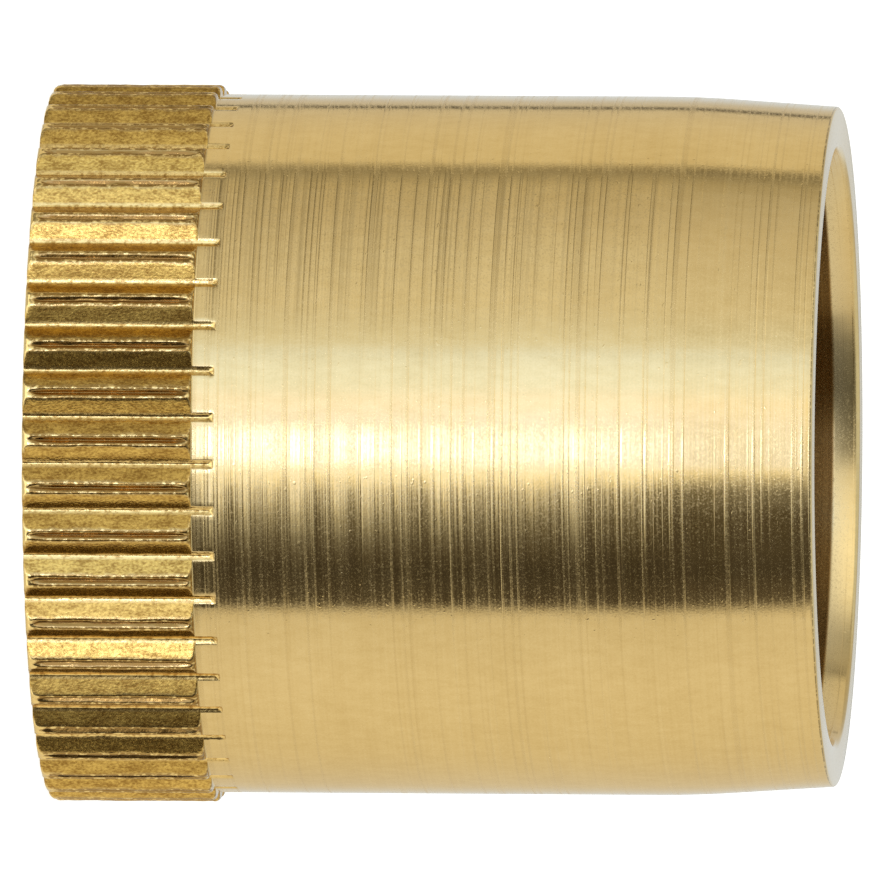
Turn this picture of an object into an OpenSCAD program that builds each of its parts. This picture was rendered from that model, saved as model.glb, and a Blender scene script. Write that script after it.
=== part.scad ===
// Reinforcing sleeve: a turned brass liner that is pushed into the end of a
// thin-walled tube, so that a clamping ring cannot crush the tube. A knurled
// collar grips the tube end and a tapered nose leads the sleeve in.
// The sleeve stands on its collar end: +Z is its axis, pointing at the nose.

/* [Body] */
// Outside diameter of the plain body
body_d = 12.9; // [12.7:0.05:13]
// Overall length along the axis
sleeve_l = 14.5; // [9:0.5:24]
// Diameter of the through bore
bore_d = 10.8; // [9:0.1:11.4]

/* [Knurled collar] */
// Diameter over the crests of the knurl
collar_d = 13.25; // [13.2:0.05:13.5]
// Length of the knurled band, from the collar end face
knurl_l = 3; // [1.5:0.1:4]
// Chamfer round the shoulder, which closes the collar past the knurled band
shoulder_chamfer = 0.1; // [0.05:0.01:0.14]
// Chamfer round the outside of the collar end face
collar_chamfer = 0.12; // [0.05:0.01:0.2]

/* [Knurl] */
// Number of axial grooves
groove_count = 47; // [30:1:50]
// Angle of the first groove, about the axis
groove_phase = 5.4; // [0:0.1:7.6]
// Included angle of each V groove
groove_angle = 110; // [90:1:112]
// Depth of each V groove below the crests
groove_depth = 0.245; // [0.22:0.005:0.26]
// How far each groove runs out past the knurled band, along the body
runout_l = 0.5; // [0.4:0.05:0.8]
// Length of the slope that ends each groove
runout_slope_l = 0.14; // [0.08:0.01:0.2]
// Width of the shallow valley along each crest, between its twin ridges
valley_w = 0.12; // [0.06:0.01:0.14]
// Depth of the valley along each crest
valley_depth = 0.06; // [0.03:0.005:0.07]

/* [Nose] */
// Length of the tapered lead-in
nose_l = 2.6; // [1:0.1:4]
// How much the radius drops along the lead-in
nose_drop = 0.17; // [0.05:0.01:0.25]
// Chamfer round the outside of the nose end face
nose_chamfer = 0.05; // [0.03:0.01:0.1]
// Rounding of the inner edge of the nose end face
mouth_edge_r = 0.1; // [0.05:0.01:0.12]

/* [Bore ends] */
// Length of the lead chamfer inside the nose
lead_l = 0.37; // [0.2:0.01:0.8]
// How much wider than the bore the lead chamfer opens, on the radius
lead_rise = 0.1; // [0.05:0.01:0.15]
// Chamfer inside the collar end face
inner_chamfer = 0.15; // [0.05:0.01:0.2]

/* [Hidden] */
$fn = 180;
body_r = body_d / 2;
bore_r = bore_d / 2;
collar_r = collar_d / 2;
nose_r = body_r - nose_drop;
mouth_r = bore_r + lead_rise;
groove_root_r = collar_r - groove_depth;
groove_pitch = 360 / groove_count;
collar_l = knurl_l + shoulder_chamfer;
runout_end_z = knurl_l + runout_l;
// Length of the slope that ends each crest valley
valley_slope_l = 0.12;
// The cutters of the knurl stop just outside the crests, so neighbours stay apart
cutter_top_r = collar_r + 0.03;
// Clearance by which the cutting shapes pass the metal
past = 1;

// Half of the sleeve's outside, from the axis outwards
module outer_profile() {
    polygon([
        [0, 0],
        [collar_r - collar_chamfer, 0],
        [collar_r, collar_chamfer],
        [collar_r, knurl_l],
        [collar_r - shoulder_chamfer, collar_l],
        [0, collar_l]
    ]);
    polygon([
        [0, 0],
        [body_r, 0],
        [body_r, sleeve_l - nose_l],
        [nose_r, sleeve_l - nose_chamfer],
        [nose_r - nose_chamfer, sleeve_l],
        [0, sleeve_l]
    ]);
}

// Half of the passage through the sleeve
module bore_profile() {
    difference() {
        polygon([
            [0, -past],
            [bore_r + inner_chamfer + past, -past],
            [bore_r, inner_chamfer],
            [bore_r, sleeve_l - mouth_edge_r - lead_l],
            [mouth_r, sleeve_l - mouth_edge_r],
            [mouth_r + mouth_edge_r, sleeve_l - mouth_edge_r],
            [mouth_r + mouth_edge_r, sleeve_l + past],
            [0, sleeve_l + past]
        ]);
        translate([mouth_r + mouth_edge_r, sleeve_l - mouth_edge_r])
            circle(r = mouth_edge_r);
    }
}

// A V-shaped cutter lying along the axis at angle 0, with its root at root_r.
// It runs from z = start to z = end, and its root slopes out to full_r there.
module v_cutter(root_r, full_r, angle, start, end, slope_in, slope_out) {
    half_w = (cutter_top_r - root_r) * tan(angle / 2);
    intersection() {
        translate([0, 0, start])
            linear_extrude(height = end - start)
                polygon([[root_r, 0], [cutter_top_r, half_w], [cutter_top_r, -half_w]]);
        rotate([90, 0, 0])
            linear_extrude(height = 2 * half_w + past, center = true)
                polygon([
                    [root_r, start + slope_in],
                    [root_r, end - slope_out],
                    [full_r, end],
                    [cutter_top_r, end],
                    [cutter_top_r, start],
                    [full_r, start]
                ]);
    }
}

// The grooves of the knurl, which run out along the body
module grooves() {
    for (i = [0 : groove_count - 1])
        rotate(groove_phase + i * groove_pitch)
            v_cutter(groove_root_r, body_r, groove_angle, -past, runout_end_z, 0, runout_slope_l);
}

// The shallow valleys between the twin ridges of each crest
module crest_valleys() {
    valley_angle = 2 * atan(valley_w / 2 / valley_depth);
    for (i = [0 : groove_count - 1])
        rotate(groove_phase + (i + 0.5) * groove_pitch)
            v_cutter(collar_r - valley_depth, collar_r, valley_angle,
                     collar_chamfer / 2, collar_l, valley_slope_l, valley_slope_l);
}

module sleeve() {
    color("goldenrod")
        difference() {
            rotate_extrude() outer_profile();
            rotate_extrude() bore_profile();
            grooves();
            crest_valleys();
        }
}

sleeve();
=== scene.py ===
import math
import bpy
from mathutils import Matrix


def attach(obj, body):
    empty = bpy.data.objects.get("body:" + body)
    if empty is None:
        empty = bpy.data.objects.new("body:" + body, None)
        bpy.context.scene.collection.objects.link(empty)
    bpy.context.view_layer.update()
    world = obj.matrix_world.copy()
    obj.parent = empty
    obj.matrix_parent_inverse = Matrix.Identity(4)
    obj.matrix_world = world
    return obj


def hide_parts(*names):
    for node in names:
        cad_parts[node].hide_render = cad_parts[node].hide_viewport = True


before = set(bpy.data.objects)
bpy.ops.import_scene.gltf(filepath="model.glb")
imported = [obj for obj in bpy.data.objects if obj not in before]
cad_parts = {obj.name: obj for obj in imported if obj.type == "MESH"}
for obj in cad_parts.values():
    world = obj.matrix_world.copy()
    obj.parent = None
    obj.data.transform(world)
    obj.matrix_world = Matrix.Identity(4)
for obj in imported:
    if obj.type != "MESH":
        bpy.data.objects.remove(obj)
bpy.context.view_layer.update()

from types import SimpleNamespace

import bpy
import numpy as np
from mathutils import Matrix, Vector

MM = 0.001

# ---------------------------------------------------------------- real sizes, in millimetres
LENGTH = 14.5
BODY_R = 6.45
BORE_R = 5.4
COLLAR_R = 6.625
KNURL_END = 3.0
SHOULDER_R = 0.1
COLLAR_L = KNURL_END + SHOULDER_R
# Rounding of the collar's foot, and the bore's chamfer there
COLLAR_EDGE = 0.12
INNER_CHAMFER = 0.15
# The nose tapers from NOSE_START, after a blend that reaches this far to both sides
NOSE_START = 11.9
NOSE_BLEND = 0.7
NOSE_R = 6.28
NOSE_EDGE_R = 0.05
# The mouth's rounded edge, and the lead chamfer that goes down from it to the bore
MOUTH_R = 5.5
MOUTH_EDGE_R = 0.1
LEAD_L = 0.37
# A radius on the end face, between its two edges
FACE_R = 5.9
# Less than the distance between any two edges, to tell them apart
HAIR = 0.001

# The knurl: V grooves along the axis, which run out on the body
GROOVES = 47
GROOVE_PHASE = math.radians(5.4)
GROOVE_HALF_ANGLE = math.radians(56.4)
GROOVE_ROOT_R = 6.39
# The root is rounded: how far above the V's point, and over what height
ROOT_RISE = 0.007
ROOT_BLEND = 0.028
# The flanks bulge a little, most at this angle from the root
FLANK_BULGE = 0.0025
FLANK_MIDDLE = math.radians(1.6)
# They wander along their length, slowly and quickly
SWAY_SLOW = math.radians(0.02)
SWAY_QUICK = math.radians(0.015)
RUNOUT_END = 3.52
RUNOUT_SLOPE = 0.12
RUNOUT_BLEND = 0.004

# Each crest has two rounded ridges, and a valley with 45 degree walls between them
RIDGE_APART = 0.165
RIDGE_APART_VARIES = 0.04
RIDGE_RADIUS = 0.03
# The ridges rise and fall from this height on, by about this much and never by more than the limit
RIDGE_WAVE_START = 0.15
RIDGE_WAVE = 0.003
RIDGE_WAVE_LIMIT = 0.004
# The valley starts above the foot, gets its depth over the slope and its width over the point
VALLEY_START = 0.08
VALLEY_SLOPE = 0.14
VALLEY_POINT = 0.25
VALLEY_TIP = 0.3
# Rounding between a crest and a groove, on the collar and on the run-outs
CREST_BLEND = 0.02
BODY_BLEND = 0.008

# Marks that the turning tool left round the body: height and depth
TOOL_MARKS = (
    (5.2, 0.004),
    (6.24, 0.002),
    (8.98, 0.002),
    (11.0, 0.003),
    (11.42, 0.002),
    (12.7, 0.002),
)
TOOL_MARK_HALF_W = 0.015
# The shallow mark near the end of the run-outs
WITNESS_Z = 3.42
WITNESS_DEPTH = 0.002

# ---------------------------------------------------------------- the mesh of the sleeve
PITCH = 2 * math.pi / GROOVES
# Columns of half a tooth, in degrees from the groove's root towards the crest's middle
HALF_TOOTH = (0.0, 0.16, 0.45, 0.76, 0.88, 1.6, 2.4, 2.72, 2.84, 2.96, 3.08, 3.2, 3.3, 3.45, 3.74)
# Past the run-outs the mesh keeps one column in this many
COARSE = 5
KNURL_SEED = 5
# How the knurl's masks fade: the groove's over a depth, the root's over an angle that ends at REACH times
# itself from the root, and the valley's from one depth on, over another
GROOVE_MASK = 0.02
ROOT_MASK = math.radians(0.5)
ROOT_MASK_REACH = 1.4
VALLEY_MASK = (0.005, 0.015)
# Rings over the collar and the run-outs: at the foot, along the teeth, at the shoulder, at the run-outs
FOOT_RINGS = (0.0, 0.012, 0.035, 0.07, 0.12, 0.17)
TOOTH_RINGS = np.arange(0.26, 2.9, 0.11)
SHOULDER_RINGS = (2.94, 3.0, 3.03, 3.055, 3.075, 3.09, 3.099, 3.104, 3.13)
RUNOUT_RINGS = (3.3, 3.39, 3.405, 3.42, 3.435, 3.47, 3.5, 3.52, 3.535)
# Rings up the body and the nose, besides those of the tool marks
BODY_RINGS = (3.55, 3.7, 4.4, 7.1, 8.0, 9.8, 10.6, 11.2, 11.6, 11.8, 12.0, 12.2, 12.4, 13.0, 13.5, 14.0, 14.3)
BORE_RINGS = (11.0, 7.0, 3.0)


def smooth_min(a, b, k):
    """The lower of a and b, with the corner between them rounded over k."""
    h = np.clip(0.5 + 0.5 * (b - a) / k, 0, 1)
    return b * (1 - h) + a * h - k * h * (1 - h)


def smooth_max(a, b, k):
    """The higher of a and b, with the corner between them rounded over k."""
    return -smooth_min(-a, -b, k)


def tooth_columns():
    """Angles of one tooth's columns from its groove's root: from a crest's middle almost to the next one."""
    left = [-a for a in reversed(HALF_TOOTH[1:])]
    return np.radians([-math.degrees(PITCH) / 2] + left + list(HALF_TOOTH))


def wave(rng, rows, count, reach):
    """Smooth random waves down the rows, one for each of count lines, about 1 in height."""
    noise = rng.normal(size=(rows + 4 * reach, count))
    kernel = np.hanning(2 * reach + 1)
    kernel /= math.sqrt((kernel ** 2).sum())
    out = np.stack([np.convolve(noise[:, i], kernel, mode="same") for i in range(count)], axis=1)
    return out[2 * reach:2 * reach + rows]


def turned_radius(z):
    """Radius of the turned collar and the start of the body at height z, with no knurl."""
    edge = np.clip(COLLAR_EDGE - z, 0, COLLAR_EDGE)
    foot = COLLAR_R - COLLAR_EDGE + np.sqrt(COLLAR_EDGE ** 2 - edge ** 2)
    top = np.clip(z - KNURL_END, 0, SHOULDER_R)
    shoulder = COLLAR_R - SHOULDER_R + np.sqrt(SHOULDER_R ** 2 - top ** 2)
    mark = WITNESS_DEPTH * np.clip(1 - np.abs(z - WITNESS_Z) / TOOL_MARK_HALF_W, 0, 1)
    return np.where(z > COLLAR_L + HAIR, BODY_R - mark, np.minimum(foot, shoulder))


def groove_radius(z, off_root):
    """Radius of a groove's surface at height z and at an angle from its root."""
    flank = GROOVE_ROOT_R / (np.cos(off_root) - np.sin(off_root) / math.tan(GROOVE_HALF_ANGLE))
    flank += FLANK_BULGE * np.clip(1 - (off_root / FLANK_MIDDLE - 1) ** 2, 0, 1)
    groove = smooth_max(flank, GROOVE_ROOT_R + ROOT_RISE, ROOT_BLEND)
    slope = GROOVE_ROOT_R + (z - (RUNOUT_END - RUNOUT_SLOPE)) / RUNOUT_SLOPE * (BODY_R - GROOVE_ROOT_R)
    return smooth_max(groove, slope, RUNOUT_BLEND)


def valley_depth(z, across, apart):
    """Depth of a crest's valley, across from the crest's middle, where its ridges are apart from it."""
    inside = np.minimum(z - VALLEY_START, COLLAR_L - z)
    # It narrows to a point at both ends
    apart = apart * (VALLEY_TIP + (1 - VALLEY_TIP) * np.sqrt(np.clip(inside / VALLEY_POINT, 0, 1)))
    down = np.maximum(apart - across, 0)
    wall = np.where(down < RIDGE_RADIUS, down ** 2 / (2 * RIDGE_RADIUS), down - RIDGE_RADIUS / 2)
    return wall * np.clip(inside / VALLEY_SLOPE, 0, 1)


def knurled_rings():
    """Height, angle and radius of the collar's and run-outs' rings, and the masks of the knurl's parts."""
    heights = np.concatenate([FOOT_RINGS, TOOTH_RINGS, SHOULDER_RINGS, RUNOUT_RINGS])
    rows = len(heights)
    z = heights[:, None]
    rng = np.random.default_rng(KNURL_SEED)
    columns = tooth_columns()
    teeth = np.arange(GROOVES)
    angle = (GROOVE_PHASE + teeth[:, None] * PITCH + columns[None, :]).ravel()
    from_root = np.abs(np.tile(columns, GROOVES))
    tooth_of = np.repeat(teeth, len(columns))
    side_of = tooth_of * 2 + np.tile(columns > 0, GROOVES)

    sway = wave(rng, rows, 2 * GROOVES, 4) * SWAY_SLOW
    sway += wave(rng, rows, 2 * GROOVES, 1) * SWAY_QUICK
    # The root itself stays straight
    off_root = np.maximum(from_root + sway[:, side_of] * (from_root > 1e-6), 0)
    groove = groove_radius(z, off_root)

    slow, quick = wave(rng, rows, 2 * GROOVES, 4), wave(rng, rows, 2 * GROOVES, 1)
    rise = slow * RIDGE_WAVE + quick * RIDGE_WAVE - RIDGE_WAVE
    rises = (z < KNURL_END) * (z > RIDGE_WAVE_START)
    envelope = turned_radius(z) + np.minimum(rise[:, side_of], RIDGE_WAVE_LIMIT) * rises
    apart = RIDGE_APART / 2 * (1 + RIDGE_APART_VARIES * wave(rng, rows, GROOVES, 2)[:, tooth_of])
    valley = valley_depth(z, (PITCH / 2 - from_root) * COLLAR_R, apart)
    crest = envelope - valley

    blend = np.where(z > COLLAR_L + HAIR, BODY_BLEND, CREST_BLEND)
    radius = np.minimum(smooth_min(crest, groove, blend), envelope)
    # The end face's edge is sharp
    radius[heights <= 0.0] = np.minimum(crest, groove)[heights <= 0.0]

    in_groove = np.clip((crest - groove) / GROOVE_MASK, 0, 1) * (z < RUNOUT_END)
    root = np.clip(ROOT_MASK_REACH - from_root / ROOT_MASK, 0, 1) * in_groove
    recess = np.clip((valley - VALLEY_MASK[0]) / VALLEY_MASK[1], 0, 1) * (1 - in_groove)
    ridge = (z < COLLAR_L + HAIR) * (1 - in_groove) * (1 - recess)
    masks = {"flank": in_groove * (1 - root), "root": root, "recess": recess, "ridge": ridge}
    return heights, angle, radius, masks


def arc_points(centre, radius, start, end, count):
    """(r, z) points along an arc, from start to end degrees, both ends included."""
    turns = [math.radians(start + (end - start) * i / count) for i in range(count + 1)]
    return [(centre[0] + radius * math.cos(t), centre[1] + radius * math.sin(t)) for t in turns]


def body_radius(z):
    """Radius of the plain body and of the nose's taper, which starts with a long blend."""
    fall = (BODY_R - NOSE_R) / (LENGTH - NOSE_EDGE_R - NOSE_START)
    past = z - (NOSE_START - NOSE_BLEND)
    if past <= 0:
        return BODY_R
    if past < 2 * NOSE_BLEND:
        return BODY_R - fall * past ** 2 / (4 * NOSE_BLEND)
    return BODY_R - fall * (past - NOSE_BLEND)


def plain_profile():
    """(r, z) of the rings above the run-outs, over the nose and down the bore."""
    heights = list(BODY_RINGS)
    for height, _ in TOOL_MARKS:
        heights += [height + step * TOOL_MARK_HALF_W for step in (-2, -1, 0, 1, 2)]
    depths = dict(TOOL_MARKS)
    points = [(body_radius(z) - depths.get(z, 0), z) for z in sorted(heights)]
    taper = math.atan2(BODY_R - NOSE_R, LENGTH - NOSE_EDGE_R - NOSE_START)
    nose_centre = (NOSE_R - NOSE_EDGE_R, LENGTH - NOSE_EDGE_R)
    mouth_centre = (MOUTH_R + MOUTH_EDGE_R, LENGTH - MOUTH_EDGE_R)
    points += arc_points(nose_centre, NOSE_EDGE_R, math.degrees(taper), 90, 4)
    points += [(FACE_R, LENGTH)]
    points += arc_points(mouth_centre, MOUTH_EDGE_R, 90, 165, 5)
    # The corner between the lead chamfer and the bore is softened
    lead_end = LENGTH - MOUTH_EDGE_R - LEAD_L
    points += [(BORE_R + 0.008, lead_end + 0.03), (BORE_R, lead_end), (BORE_R, lead_end - 0.05)]
    points += [(BORE_R, z) for z in BORE_RINGS]
    points += [(BORE_R, INNER_CHAMFER + 0.02), (BORE_R, INNER_CHAMFER), (BORE_R + INNER_CHAMFER, 0)]
    return points


def on_lip(r, z):
    """Whether a ring lies half way round the nose's outer edge, where the end face's dark outline is painted
    in as shade.
    """
    return r > FACE_R and 0.4 < (LENGTH - z) / NOSE_EDGE_R < 0.7


def ring_points(radius, angle, z):
    """XYZ of one ring's points, or of many rings' points one ring after another."""
    x, y, z = np.broadcast_arrays(radius * np.cos(angle), radius * np.sin(angle), z)
    return np.stack([x, y, z], axis=-1).reshape(-1, 3)


def ring_faces(first, second, count):
    """Quads between two rings of count columns, each named by its first point."""
    return [(first + j, first + (j + 1) % count, second + (j + 1) % count, second + j) for j in range(count)]


def step_faces(fine, coarse, count, flip):
    """Triangles between a ring of all columns and a ring of one in COARSE, which has count columns."""
    half = COARSE // 2
    faces = []
    for j in range(count):
        ends = [fine + (COARSE * j + i) % (COARSE * count) for i in range(COARSE + 1)]
        near, far = coarse + j, coarse + (j + 1) % count
        tris = [(ends[i], ends[i + 1], near) for i in range(half)]
        tris += [(ends[half], far, near)]
        tris += [(ends[i], ends[i + 1], far) for i in range(half, COARSE)]
        faces += [t[::-1] if flip else t for t in tris]
    return faces


def build_sleeve():
    """The whole sleeve as one closed mesh, with the masks that its material reads."""
    z, angle, radius, masks = knurled_rings()
    rows, columns = radius.shape
    profile = plain_profile()
    count = columns // COARSE
    points = [ring_points(radius, angle, z[:, None])]
    points += [ring_points(r, angle[::COARSE], level) for r, level in profile]

    faces = []
    for i in range(rows - 1):
        faces += ring_faces(i * columns, (i + 1) * columns, columns)
    base = rows * columns
    last = len(profile) - 1
    faces += step_faces((rows - 1) * columns, base, count, False)
    for i in range(last):
        faces += ring_faces(base + i * count, base + (i + 1) * count, count)
    faces += step_faces(0, base + last * count, count, True)

    mesh = bpy.data.meshes.new("sleeve_body")
    mesh.from_pydata((np.concatenate(points) * MM).tolist(), [], faces)
    # The knurl's masks are 0 on the plain rings, and these two are 0 on the knurl
    plain_masks = {
        "bore": [r < MOUTH_R + HAIR for r, _ in profile],
        "lip": [on_lip(r, level) for r, level in profile],
    }
    for name in (*masks, *plain_masks):
        lower = masks.get(name, np.zeros_like(radius)).reshape(-1)
        upper = np.repeat(plain_masks.get(name, [0] * len(profile)), count)
        attribute = mesh.attributes.new(name, "FLOAT", "POINT")
        attribute.data.foreach_set("value", np.concatenate([lower, upper]).astype(np.float32))
    mesh.shade_smooth()
    mesh.validate()
    piece = bpy.data.objects.new("turned_sleeve", mesh)
    bpy.context.scene.collection.objects.link(piece)
    return piece


# ---------------------------------------------------------------- node helpers
class Nodes:
    """Short calls for building a node tree."""

    def __init__(self, tree):
        self.tree = tree
        tree.nodes.clear()

    def add(self, kind, **settings):
        node = self.tree.nodes.new(kind)
        for key, value in settings.items():
            setattr(node, key, value)
        return node

    def plug(self, value, socket):
        """Links an output, or sets a number or a colour."""
        if hasattr(value, "is_output"):
            self.tree.links.new(value, socket)
        elif hasattr(value, "__len__"):
            socket.default_value = (*value, 1)
        else:
            socket.default_value = value

    def math(self, operation, a, b=0.0, clamp=False):
        node = self.add("ShaderNodeMath", operation=operation, use_clamp=clamp)
        self.plug(a, node.inputs[0])
        self.plug(b, node.inputs[1])
        return node.outputs[0]

    def times(self, a, b):
        return self.math("MULTIPLY", a, b)

    def plus(self, *values):
        """Sum of two or more values."""
        total = values[0]
        for value in values[1:]:
            total = self.math("ADD", total, value)
        return total

    def ramp(self, factor, stops):
        node = self.add("ShaderNodeValToRGB")
        elements = node.color_ramp.elements
        while len(elements) > 1:
            elements.remove(elements[-1])
        for i, (place, colour) in enumerate(stops):
            element = elements[0] if i == 0 else elements.new(place)
            element.position = place
            element.color = (*colour, 1)
        self.plug(factor, node.inputs["Fac"])
        return node.outputs["Color"]

    def map_range(self, value, low, high, to_low=0.0, to_high=1.0):
        node = self.add("ShaderNodeMapRange")
        for name, number in zip(("Value", "From Min", "From Max", "To Min", "To Max"),
                                (value, low, high, to_low, to_high)):
            self.plug(number, node.inputs[name])
        return node.outputs["Result"]

    def mix(self, factor, a, b):
        node = self.add("ShaderNodeMix", data_type="RGBA")
        sockets = [s for s in node.inputs if s.enabled]
        for socket, value in zip(sockets, (factor, a, b)):
            self.plug(value, socket)
        return [s for s in node.outputs if s.enabled][0]

    def noise(self, vector, across, along, detail, roughness):
        """Noise with one scale across the object's Z axis and one along it."""
        mapping = self.add("ShaderNodeMapping")
        self.plug(vector, mapping.inputs["Vector"])
        mapping.inputs["Scale"].default_value = (across, across, along)
        node = self.add("ShaderNodeTexNoise")
        self.plug(mapping.outputs["Vector"], node.inputs["Vector"])
        for name, number in (("Scale", 1.0), ("Detail", detail), ("Roughness", roughness)):
            self.plug(number, node.inputs[name])
        return node.outputs["Fac"]


# ---------------------------------------------------------------- materials
BRASS = (0.70, 0.53, 0.245)
BRASS_DULL = (0.60, 0.435, 0.18)
BRASS_PALE = (0.79, 0.62, 0.315)
BRASS_DARK = (0.36, 0.23, 0.08)
FLANK_DARK = (0.33, 0.185, 0.04)
FLANK_LIGHT = (0.71, 0.475, 0.125)
# The groove roots carry a painted highlight: a jagged bright line, broken by dim gaps
ROOT_DIM = (0.46, 0.28, 0.075)
ROOT_PAINTED_HIGHLIGHT = (0.87, 0.64, 0.25)
# The ridges carry painted dotted highlights, with dim gaps between the dots
RIDGE_DIM = (0.30, 0.18, 0.05)
RIDGE_PAINTED_HIGHLIGHT = (0.84, 0.63, 0.26)
# Painted shade: the crest valleys are darkened where shade falls in them
RECESS_PAINTED_SHADE = (0.29, 0.165, 0.044)
# Painted shade: the bore is darkened deep inside the tube
BORE_PAINTED_SHADE = (0.33, 0.20, 0.068)
LEAD = (0.70, 0.57, 0.32)
# Painted shade: the dark outline along the nose's outer edge
LIP_PAINTED_OUTLINE = (0.22, 0.16, 0.07)
MASKS = ("flank", "root", "recess", "ridge", "bore", "lip")

# The brass's patterns: scale across the axis, scale along it, detail and roughness of the noise.
# The first four are drawn out round the sleeve, as turning lines are
PATTERNS = {
    "fine": (130, 22000, 0.0, 0.5),
    "wide": (70, 9000, 1.0, 0.5),
    "ripple": (40, 2300, 0.0, 0.5),
    "scratch": (60, 17000, 0.0, 0.5),
    "pit": (9000, 13000, 1.0, 0.5),
    "cloud": (420, 420, 4.0, 0.55),
    "grain": (26000, 26000, 1.0, 0.5),
    "speckle": (26000, 17000, 1.0, 0.5),
    "smudge": (6000, 2500, 3.0, 0.6),
    "dots": (15000, 10000, 2.0, 0.6),
}
# Only the peaks of these two noises count
SCRATCH_PEAKS = (0.60, 0.74)
PIT_PEAKS = (0.72, 0.80)

# Shares in the body's colour, and how much a scratch darkens it
COLOUR_FINE = 0.11
COLOUR_WIDE = 0.08
COLOUR_CLOUD = 0.26
COLOUR_GRAIN = 0.25
COLOUR_SMUDGE = 0.3
SCRATCH_DARK = 0.08
# The ridges are painted brighter at the collar's foot, a painted highlight which fades in between these
# heights
FOOT_PAINTED_HIGHLIGHT = 0.3
FOOT_HEIGHTS = (0.2, 0.1)
# Deep in the bore, from the lead chamfer's end on, the colour is painted dark as shade, fading in between
# these depths below the nose
BORE_SHADE_BELOW = (0.46, 0.5)

# Roughness: from a noise's range to a range of its own, or added where a mask is 1
ROUGH_WIDE = (0.4, 0.7, 0.095, 0.13)
ROUGH_FINE = (0.5, 0.75, 0.0, 0.06)
ROUGH_GRAIN = (0.5, 0.7, 0.0, 0.12)
ROUGH_SCRATCH = 0.12
ROUGH_BORE = 0.2
ROUGH_KNURL = 0.12
ROUGH_FLANK = 0.10

# Heights of the bump, in metres. The ripple is lower on the nose
BUMP_FINE = 1.2e-6
BUMP_WIDE = 1.4e-6
BUMP_SCRATCH = 2.4e-6
BUMP_PIT = 1.5e-6
BUMP_GRAIN = 0.5e-6
BUMP_SPECKLE = 2.6e-6
BUMP_RIPPLE_BODY = 15e-6
BUMP_RIPPLE_NOSE = 2.5e-6
RIPPLE_FALLS = (10.6, 11.4)
# How much of the turning lines' gloss and bump the bore loses
BORE_WORN = 0.85


def brass_colour(n, mask, pattern, height):
    """Turned brass, a speckled knurl, ridges bright with painted highlight, painted shade in crest valleys
    and bore.
    """
    streaks = n.plus(
        n.times(pattern.fine, COLOUR_FINE),
        n.times(pattern.wide, COLOUR_WIDE),
        n.times(pattern.cloud, COLOUR_CLOUD),
        n.times(pattern.grain, COLOUR_GRAIN),
        n.times(pattern.smudge, COLOUR_SMUDGE),
    )
    body = n.ramp(streaks, ((0.26, BRASS_DULL), (0.5, BRASS), (0.74, BRASS_PALE)))
    body = n.mix(n.times(pattern.scratch, SCRATCH_DARK), body, BRASS_DARK)
    blotches = n.plus(n.times(pattern.speckle, 0.5), n.times(pattern.smudge, 0.5))
    flanks = n.ramp(blotches, ((0.38, FLANK_DARK), (0.62, FLANK_LIGHT)))
    # Painted highlight along the groove roots, dotted by noise
    roots = n.ramp(pattern.dots, ((0.36, ROOT_DIM), (0.52, ROOT_PAINTED_HIGHLIGHT)))
    # Painted dotted highlight on the ridges, brighter near the collar's foot
    foot = n.map_range(height, FOOT_HEIGHTS[0] * MM, FOOT_HEIGHTS[1] * MM)
    ridges = n.plus(pattern.dots, n.times(foot, FOOT_PAINTED_HIGHLIGHT))
    ridges = n.ramp(ridges, ((0.50, RIDGE_DIM), (0.64, RIDGE_PAINTED_HIGHLIGHT)))
    colour = n.mix(mask.flank, body, flanks)
    colour = n.mix(mask.root, colour, roots)
    colour = n.mix(mask.ridge, colour, ridges)
    # Painted shade in the crest valleys
    colour = n.mix(mask.recess, colour, RECESS_PAINTED_SHADE)
    colour = n.mix(mask.bore, colour, LEAD)
    # Painted shade: the lip's dark outline, dotted by noise
    lip = n.times(mask.lip, n.map_range(pattern.dots, 0.38, 0.52))
    colour = n.mix(lip, colour, LIP_PAINTED_OUTLINE)
    # Painted shade deep in the bore
    deep = n.map_range(height, *((LENGTH - below) * MM for below in BORE_SHADE_BELOW))
    return n.mix(n.times(mask.bore, deep), colour, BORE_PAINTED_SHADE)


def brass_roughness(n, mask, pattern, knurl, plain):
    """Each line and each grain has its own gloss."""
    lines = n.plus(
        n.map_range(pattern.wide, *ROUGH_WIDE),
        n.map_range(pattern.fine, *ROUGH_FINE),
        n.times(pattern.scratch, ROUGH_SCRATCH),
    )
    return n.plus(
        n.times(lines, plain),
        n.map_range(pattern.grain, *ROUGH_GRAIN),
        n.times(mask.bore, ROUGH_BORE),
        n.times(knurl, ROUGH_KNURL),
        n.times(mask.flank, ROUGH_FLANK),
    )


def brass_bump(n, pattern, knurl, plain, height):
    """Normal of the turning lines on the plain parts, and of a pressed grain on the knurl."""
    ripple = n.map_range(height, *(z * MM for z in RIPPLE_FALLS), BUMP_RIPPLE_BODY, BUMP_RIPPLE_NOSE)
    turned = n.plus(
        n.times(pattern.fine, BUMP_FINE),
        n.times(pattern.wide, BUMP_WIDE),
        n.times(pattern.scratch, BUMP_SCRATCH),
        n.times(pattern.pit, BUMP_PIT),
        n.times(pattern.grain, BUMP_GRAIN),
        n.times(pattern.ripple, ripple),
    )
    pressed = n.times(pattern.speckle, BUMP_SPECKLE)
    bump = n.add("ShaderNodeBump")
    bump.inputs["Distance"].default_value = 1.0
    bump.inputs["Strength"].default_value = 1.0
    n.plug(n.plus(n.times(turned, plain), n.times(pressed, knurl)), bump.inputs["Height"])
    return bump.outputs["Normal"]


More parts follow.
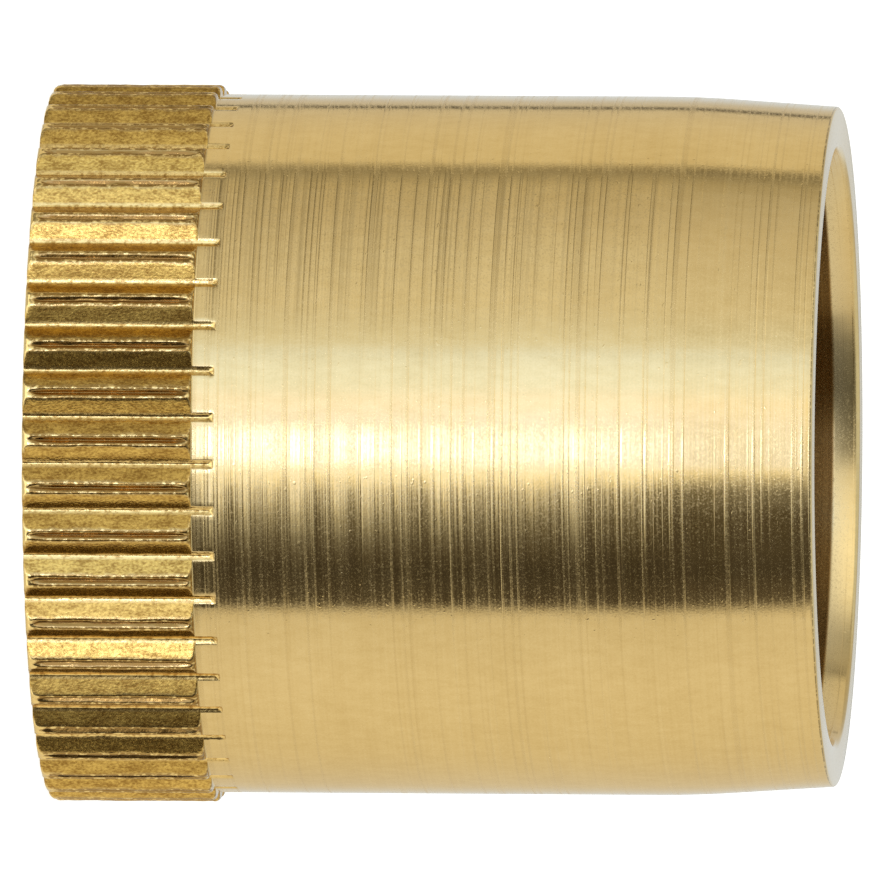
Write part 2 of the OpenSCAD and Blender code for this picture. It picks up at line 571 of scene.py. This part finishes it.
def brass_material():
    """The sleeve's one material. The mesh's masks tell it which part of the knurl or the bore a point is."""
    material = bpy.data.materials.new("brass")
    material.use_nodes = True
    n = Nodes(material.node_tree)
    out = n.add("ShaderNodeOutputMaterial")
    shader = n.add("ShaderNodeBsdfPrincipled")
    shader.inputs["Metallic"].default_value = 1.0
    # Gloss spreads along the axis, across the turning lines
    shader.inputs["Anisotropic"].default_value = 0.8
    shader.inputs["Anisotropic Rotation"].default_value = 0.25
    tangent = n.add("ShaderNodeTangent", direction_type="RADIAL", axis="Z")
    n.plug(tangent.outputs[0], shader.inputs["Tangent"])
    n.plug(shader.outputs[0], out.inputs["Surface"])
    place = n.add("ShaderNodeTexCoord").outputs["Object"]
    split = n.add("ShaderNodeSeparateXYZ")
    n.plug(place, split.inputs[0])
    height = split.outputs["Z"]
    mask = SimpleNamespace(**{
        name: n.add("ShaderNodeAttribute", attribute_name=name).outputs["Fac"] for name in MASKS
    })
    pattern = SimpleNamespace(**{name: n.noise(place, *numbers) for name, numbers in PATTERNS.items()})
    pattern.scratch = n.map_range(pattern.scratch, *SCRATCH_PEAKS)
    pattern.pit = n.map_range(pattern.pit, *PIT_PEAKS)
    knurl = n.math("ADD", n.plus(mask.flank, mask.root), n.plus(mask.recess, mask.ridge), clamp=True)
    plain = n.math("SUBTRACT", 1.0, n.plus(knurl, n.times(mask.bore, BORE_WORN)))
    n.plug(brass_colour(n, mask, pattern, height), shader.inputs["Base Color"])
    n.plug(brass_roughness(n, mask, pattern, knurl, plain), shader.inputs["Roughness"])
    n.plug(brass_bump(n, pattern, knurl, plain, height), shader.inputs["Normal"])
    return material


# ---------------------------------------------------------------- studio
TENT_R = 0.5
LIGHT_MAX = 2.2
UMBER = (1.0, 0.85, 0.66)
AMBER = (1.0, 0.91, 0.71)
WARM = (1.0, 0.935, 0.80)
STRAW = (1.0, 0.98, 0.90)
WHITE = (0.95, 1.0, 1.03)
COOL = (0.86, 1.0, 1.27)
SKY = (0.92, 1.0, 1.40)
CREAM = (0.95, 1.0, 1.25)

# Brightness of the tent round the sleeve at LEVEL_ELEVATION: angle from the camera's side, in degrees and
# + towards -X, then brightness and tone
LEVEL_RING = (
    (-180, 0.76, WHITE),
    (-168, 0.74, STRAW),
    (-155, 0.80, AMBER),
    (-125, 0.93, AMBER),
    (-85, 1.0, WARM),
    (-68, 0.94, WARM),
    (-57.5, 0.9, WARM),
    (-54, 0.088, UMBER),
    (-40, 0.054, UMBER),
    (-33, 0.12, UMBER),
    (-24, 0.18, WARM),
    (-19, 0.45, STRAW),
    (-15, 1.15, STRAW),
    (-11, 1.62, STRAW),
    (-6, 1.60, SKY),
    (7, 1.60, SKY),
    (13, 1.62, CREAM),
    (20, 1.50, COOL),
    (26, 1.45, COOL),
    (30, 1.27, COOL),
    (35, 1.12, WHITE),
    (48, 1.09, STRAW),
    (65, 1.0, STRAW),
    (80, 0.86, WARM),
    (95, 0.79, AMBER),
    (103.5, 0.35, AMBER),
    (106.5, 0.91, AMBER),
    (125, 0.90, AMBER),
    (145, 0.78, AMBER),
    (156, 0.70, WARM),
    (163, 0.77, WHITE),
    (180, 0.76, WHITE),
)
# The same below it, above it and high up
LOW_RING = (
    (-180, 0.76, WHITE),
    (-165, 0.70, AMBER),
    (-100, 0.98, WARM),
    (-59, 0.88, WARM),
    (-54, 0.12, WARM),
    (-36, 0.15, WARM),
    (-24, 0.70, WHITE),
    (-12, 1.50, WHITE),
    (25, 1.50, COOL),
    (34, 1.0, WHITE),
    (44, 0.62, STRAW),
    (60, 0.42, WARM),
    (103, 0.22, AMBER),
    (107, 0.85, AMBER),
    (160, 0.70, WARM),
    (180, 0.76, WHITE),
)
HIGH_RING = (
    (-180, 0.76, WHITE),
    (-161, 0.88, WHITE),
    (-150, 0.80, STRAW),
    (-100, 0.98, WARM),
    (-58, 1.0, WARM),
    (-53, 0.14, UMBER),
    (-42, 0.075, UMBER),
    (-22, 0.11, UMBER),
    (-15, 0.42, STRAW),
    (-9, 1.02, STRAW),
    (4, 1.28, STRAW),
    (14, 1.40, STRAW),
    (28, 1.30, COOL),
    (36, 1.0, WHITE),
    (46, 0.92, STRAW),
    (72, 0.80, WARM),
    (88, 0.67, WARM),
    (97, 0.54, AMBER),
    (103.5, 0.24, AMBER),
    (107, 0.85, AMBER),
    (160, 0.70, WARM),
    (180, 0.76, WHITE),
)
TOP_RING = (
    (-180, 0.60, STRAW),
    (-112, 0.82, AMBER),
    (-82, 0.90, WARM),
    (-60, 0.80, WARM),
    (-44, 0.26, STRAW),
    (-25, 0.14, STRAW),
    (-9, 0.20, STRAW),
    (2, 0.36, STRAW),
    (10, 0.95, STRAW),
    (22, 1.25, STRAW),
    (42, 1.45, STRAW),
    (64, 1.30, STRAW),
    (84, 0.50, STRAW),
    (120, 0.60, AMBER),
    (180, 0.60, STRAW),
)
LEVEL_ELEVATION = -5.0
# Each ring takes over from LEVEL_RING between two elevations, and CROWN from them all
LOW_ELEVATIONS = (-7, -22)
HIGH_ELEVATIONS = (-1, 12)
TOP_ELEVATIONS = (17, 22)
CROWN = (0.80, 0.84, 0.84)
CROWN_ELEVATIONS = (42, 54)

# Parts of the tent: from, to and the softness of both ends, in degrees.
# At these azimuths the tent changes this much faster with elevation
STEEPER = (
    ((36, 104, 3.0), 3.0),
    ((-56, -20, 4.0), 0.8),
)
# The lower edge of the bright panel is slanted: degrees of azimuth for each degree of elevation
SLANT = -2.4
SLANTED = (-40, -12, 5.0)
# A thin dark line down the tent, where two of its panels meet. It fades out between two elevations
SEAM = (146.8, 150.2, 0.5)
SEAM_FADES = (8, 4)
SEAM_DARK = 0.78
# A small bright lamp below the camera's height and nearly in line with it
LAMP_AZIMUTH = (-6.0, 4.5, 2.0)
LAMP_ELEVATION = (-15.5, -10.5, 1.8)
LAMP_POWER = 13.0
# A bright panel low in front, and a soft one under everything
FRONT_AZIMUTH = (-70, 70, 12.0)
FRONT_ELEVATION = (-58, -34, 5.0)
FRONT = (0.75, 0.75, 0.72)
UNDER = (0.34, 0.34, 0.33)
UNDER_ELEVATIONS = (-60, -70)


def light_ring(n, turn, levels):
    """Colour of one ring of the tent, from its list of levels."""
    stops = []
    for angle, level, tone in levels:
        stops.append(((angle + 180) / 360, tuple(level / LIGHT_MAX * c for c in tone)))
    return n.ramp(turn, stops)


def patch(n, value, low, high, soft):
    """1 where value lies between low and high, with soft edges."""
    rise = n.map_range(value, low - soft, low + soft)
    fall = n.map_range(value, high + soft, high - soft)
    return n.times(rise, fall)


def tent_colour(n, azimuth, elevation):
    """Colour of the tent at an azimuth and an elevation, as a share of LIGHT_MAX."""
    above = n.math("SUBTRACT", elevation, LEVEL_ELEVATION)
    turn = n.map_range(azimuth, -180, 180)
    slant = n.times(patch(n, azimuth, *SLANTED), n.times(above, SLANT))
    slanted = n.map_range(n.plus(azimuth, slant), -180, 180)
    steeper = n.plus(*(n.times(patch(n, azimuth, *span), gain) for span, gain in STEEPER))
    steep = n.plus(elevation, n.times(above, steeper))
    colour = light_ring(n, slanted, LEVEL_RING)
    colour = n.mix(n.map_range(steep, *LOW_ELEVATIONS), colour, light_ring(n, turn, LOW_RING))
    colour = n.mix(n.map_range(steep, *HIGH_ELEVATIONS), colour, light_ring(n, turn, HIGH_RING))
    seam = n.times(patch(n, azimuth, *SEAM), n.map_range(elevation, *SEAM_FADES, 0.0, SEAM_DARK))
    colour = n.mix(seam, colour, (0, 0, 0))
    colour = n.mix(n.map_range(elevation, *TOP_ELEVATIONS), colour, light_ring(n, turn, TOP_RING))
    colour = n.mix(n.map_range(elevation, *CROWN_ELEVATIONS), colour, tuple(c / LIGHT_MAX for c in CROWN))
    front = n.times(patch(n, azimuth, *FRONT_AZIMUTH), patch(n, elevation, *FRONT_ELEVATION))
    colour = n.mix(front, colour, FRONT)
    return n.mix(n.map_range(elevation, *UNDER_ELEVATIONS), colour, UNDER)


def light_tent(centre):
    """The light tent: one shell whose brightness changes round the object, as softboxes and a table would."""
    bpy.ops.mesh.primitive_uv_sphere_add(segments=64, ring_count=32, radius=TENT_R, location=centre)
    tent = bpy.context.object
    tent.name = "light_tent"
    material = bpy.data.materials.new("tent_light")
    material.use_nodes = True
    n = Nodes(material.node_tree)
    out = n.add("ShaderNodeOutputMaterial")
    glow = n.add("ShaderNodeEmission")
    n.plug(glow.outputs[0], out.inputs["Surface"])
    place = n.add("ShaderNodeTexCoord").outputs["Object"]
    split = n.add("ShaderNodeSeparateXYZ")
    n.plug(place, split.inputs[0])
    x, y, z = split.outputs
    azimuth = n.math("DEGREES", n.math("ARCTAN2", n.times(x, -1.0), n.times(y, -1.0)))
    elevation = n.math("DEGREES", n.math("ARCSINE", n.math("DIVIDE", z, TENT_R)))
    n.plug(tent_colour(n, azimuth, elevation), glow.inputs["Color"])
    lamp = n.times(patch(n, azimuth, *LAMP_AZIMUTH), patch(n, elevation, *LAMP_ELEVATION))
    n.plug(n.plus(n.times(lamp, LAMP_POWER), LIGHT_MAX), glow.inputs["Strength"])
    material.cycles.emission_sampling = "NONE"
    tent.data.materials.append(material)
    tent.visible_camera = False
    tent.visible_shadow = False


def seen_directly(n):
    """1 on a ray from the camera, off gloss or through glass."""
    path = n.add("ShaderNodeLightPath").outputs
    shiny = n.math("MAXIMUM", path["Is Glossy Ray"], path["Is Transmission Ray"])
    return n.math("MAXIMUM", path["Is Camera Ray"], shiny)


WORLD_GREY = 0.8
FLOOR_SIZE = 1.6
FLOOR_GLOW = 0.82
FLOOR_GREY = 0.5


def white_world():
    """White wherever the camera, gloss or glass looks past everything, and a soft grey light otherwise."""
    world = bpy.data.worlds.new("studio")
    bpy.context.scene.world = world
    world.use_nodes = True
    n = Nodes(world.node_tree)
    out = n.add("ShaderNodeOutputWorld")
    background = n.add("ShaderNodeBackground")
    background.inputs["Color"].default_value = (1, 1, 1, 1)
    n.plug(n.map_range(seen_directly(n), 0, 1, WORLD_GREY, 1.0), background.inputs["Strength"])
    n.plug(background.outputs[0], out.inputs["Surface"])


def pale_floor():
    """The floor: white to the camera, and a little darker where the sleeve shades it."""
    bpy.ops.mesh.primitive_plane_add(size=FLOOR_SIZE, location=(0, 0, 0))
    floor = bpy.context.object
    floor.name = "floor"
    material = bpy.data.materials.new("floor")
    material.use_nodes = True
    n = Nodes(material.node_tree)
    out = n.add("ShaderNodeOutputMaterial")
    glow = n.add("ShaderNodeEmission")
    n.plug(n.times(seen_directly(n), FLOOR_GLOW), glow.inputs["Strength"])
    paper = n.add("ShaderNodeBsdfDiffuse")
    paper.inputs["Color"].default_value = (FLOOR_GREY, FLOOR_GREY, FLOOR_GREY, 1)
    both = n.add("ShaderNodeAddShader")
    n.plug(glow.outputs[0], both.inputs[0])
    n.plug(paper.outputs[0], both.inputs[1])
    n.plug(both.outputs[0], out.inputs["Surface"])
    material.cycles.emission_sampling = "NONE"
    floor.data.materials.append(material)
    # The sleeve stands on it, and mirrors the lower half of the tent instead
    floor.visible_glossy = False
    floor.visible_shadow = False


# ---------------------------------------------------------------- camera
FRAME_PX = 886
PX_PER_MM = 54.13
CAMERA_MM = 740.0
ELEVATION = math.radians(4.87)
ROLL = 0.0059
CENTRE_PX = (446.0, 444.5)


def photo_camera():
    """A long lens level with the sleeve and turned on its side, so that the picture's right is +Z."""
    back = Vector((0, -math.cos(ELEVATION), math.sin(ELEVATION)))
    right = Vector((0, math.sin(ELEVATION), math.cos(ELEVATION)))
    up = back.cross(right)
    # Rolled a little, so that the nose sits lower in the picture
    right, up = (
        right * math.cos(ROLL) + up * math.sin(ROLL),
        up * math.cos(ROLL) - right * math.sin(ROLL),
    )
    centre = Vector((0, 0, LENGTH / 2)) * MM
    off_right = (CENTRE_PX[0] - FRAME_PX / 2) / PX_PER_MM * MM
    off_down = (CENTRE_PX[1] - FRAME_PX / 2) / PX_PER_MM * MM
    target = centre - right * off_right + up * off_down
    data = bpy.data.cameras.new("camera")
    camera = bpy.data.objects.new("camera", data)
    bpy.context.scene.collection.objects.link(camera)
    place = target + back * CAMERA_MM * MM
    camera.matrix_world = Matrix.Translation(place) @ Matrix((right, up, back)).transposed().to_4x4()
    data.sensor_width = 36.0
    data.lens = data.sensor_width * CAMERA_MM / (FRAME_PX / PX_PER_MM)
    data.clip_start = 0.05
    data.clip_end = 5.0
    bpy.context.scene.camera = camera


photo_camera()
piece = build_sleeve()
piece.data.materials.append(brass_material())
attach(piece, "root")
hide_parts("sleeve")
light_tent((0, 0, LENGTH / 2 * MM))
white_world()
pale_floor()
bpy.context.scene.view_settings.view_transform = "Standard"
